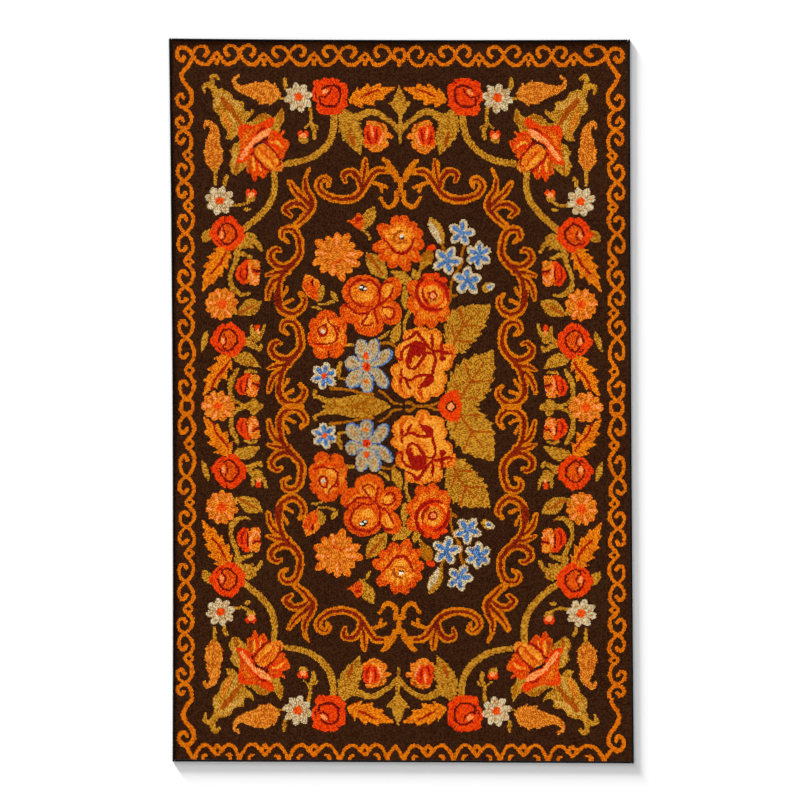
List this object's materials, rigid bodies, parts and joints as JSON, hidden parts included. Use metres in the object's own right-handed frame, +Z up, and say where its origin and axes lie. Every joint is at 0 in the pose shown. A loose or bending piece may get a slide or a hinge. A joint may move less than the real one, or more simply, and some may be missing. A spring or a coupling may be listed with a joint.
{
  "type": "woven rug",
  "caption": "Large rectangular flat-woven wool floor rug with a dense flower and scroll pattern and a narrow whipped dark edge, lying flat.",
  "frame": {"origin": "middle of the rug's underside, on the floor", "axes": "+Y along the rug's long side, towards the top of the picture; +X across it, towards the picture's right; +Z up, out of the patterned side"},
  "size_m": [1.55, 2.416, 0.006],
  "materials": {
    "woven_wool": "matt flat-woven wool, dark brown ground with a pattern in orange, peach, red, gold, cream and blue",
    "edge_wool": "matt near-black wool yarn, whipped over the edge"
  },
  "bodies": {
    "root": {"woven_cloth": "woven_wool", "edge_left": "edge_wool", "edge_right": "edge_wool", "edge_near": "edge_wool", "edge_far": "edge_wool"}
  },
  "joints": []
}
